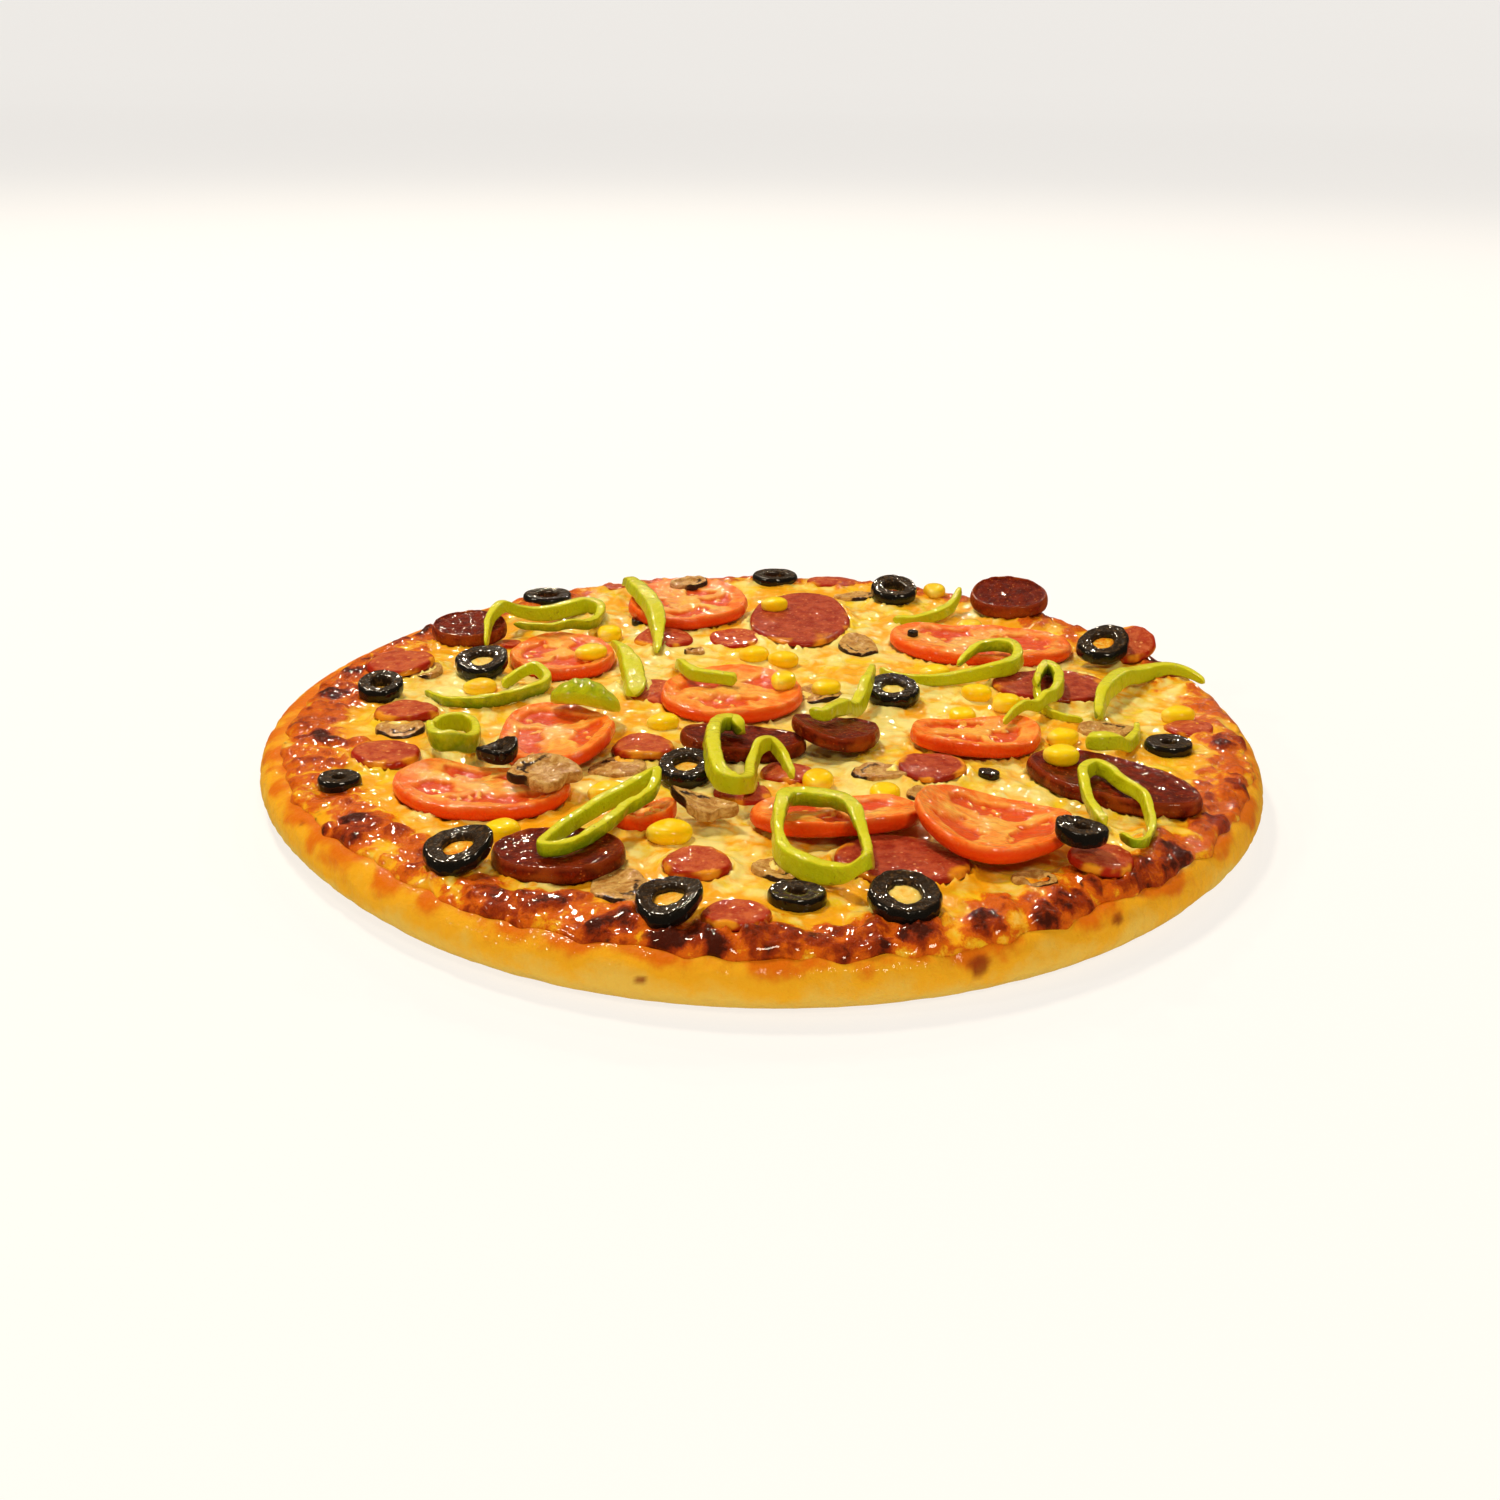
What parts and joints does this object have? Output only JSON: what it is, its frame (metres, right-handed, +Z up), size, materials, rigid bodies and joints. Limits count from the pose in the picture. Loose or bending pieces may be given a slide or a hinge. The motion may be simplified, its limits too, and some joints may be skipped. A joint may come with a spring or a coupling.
{
  "type": "pan pizza",
  "caption": "Round pan pizza with a thick rolled edge, browned cheese, and tomato, sausage, olive, mushroom, green pepper and sweetcorn on top.",
  "frame": {"origin": "middle of the flat underside of the dough", "axes": "+Z up out of the toppings, -Y towards the viewer of the picture, +X to the viewer's right"},
  "size_m": [0.2925, 0.2917, 0.0292],
  "materials": {
    "dough": "baked golden crust",
    "cheese": "melted cheese, oily, browned towards the edge, with sweetcorn and sunk slices in it",
    "tomato": "wet baked tomato",
    "salami": "oily pink sausage",
    "sausage": "oily pink sausage with a redder skin",
    "sucuk": "oily dark spiced sausage, grainy",
    "mushroom": "baked mushroom, dark gills",
    "olive": "wet black olive",
    "pepper": "baked green pepper, darker skin and paler inside"
  },
  "bodies": {
    "root": {"cheese": "cheese", "dough": "dough", "mushroom_1": "mushroom", "mushroom_2": "mushroom", "olive_1": "olive", "olive_10": "olive", "olive_11": "olive", "olive_2": "olive", "olive_3": "olive", "olive_4": "olive", "olive_5": "olive", "olive_6": "olive", "olive_7": "olive", "olive_8": "olive", "olive_9": "olive", "pepper_1": "pepper", "pepper_10": "pepper", "pepper_11": "pepper", "pepper_12": "pepper", "pepper_13": "pepper", "pepper_14": "pepper", "pepper_15": "pepper", "pepper_16": "pepper", "pepper_17": "pepper", "pepper_2": "pepper", "pepper_3": "pepper", "pepper_4": "pepper", "pepper_5": "pepper", "pepper_6": "pepper", "pepper_7": "pepper", "pepper_8": "pepper", "pepper_9": "pepper", "salami_1": "salami", "salami_2": "salami", "salami_3": "salami", "salami_4": "salami", "sausage_1": "sausage", "sausage_2": "sausage", "sausage_3": "sausage", "sausage_4": "sausage", "sausage_5": "sausage", "sausage_6": "sausage", "sausage_7": "sausage", "sausage_8": "sausage", "sucuk_1": "sucuk", "sucuk_2": "sucuk", "sucuk_3": "sucuk", "sucuk_4": "sucuk", "sucuk_5": "sucuk", "sucuk_6": "sucuk", "tomato_1": "tomato", "tomato_10": "tomato", "tomato_2": "tomato", "tomato_3": "tomato", "tomato_4": "tomato", "tomato_5": "tomato", "tomato_6": "tomato", "tomato_7": "tomato", "tomato_8": "tomato", "tomato_9": "tomato"}
  },
  "joints": []
}
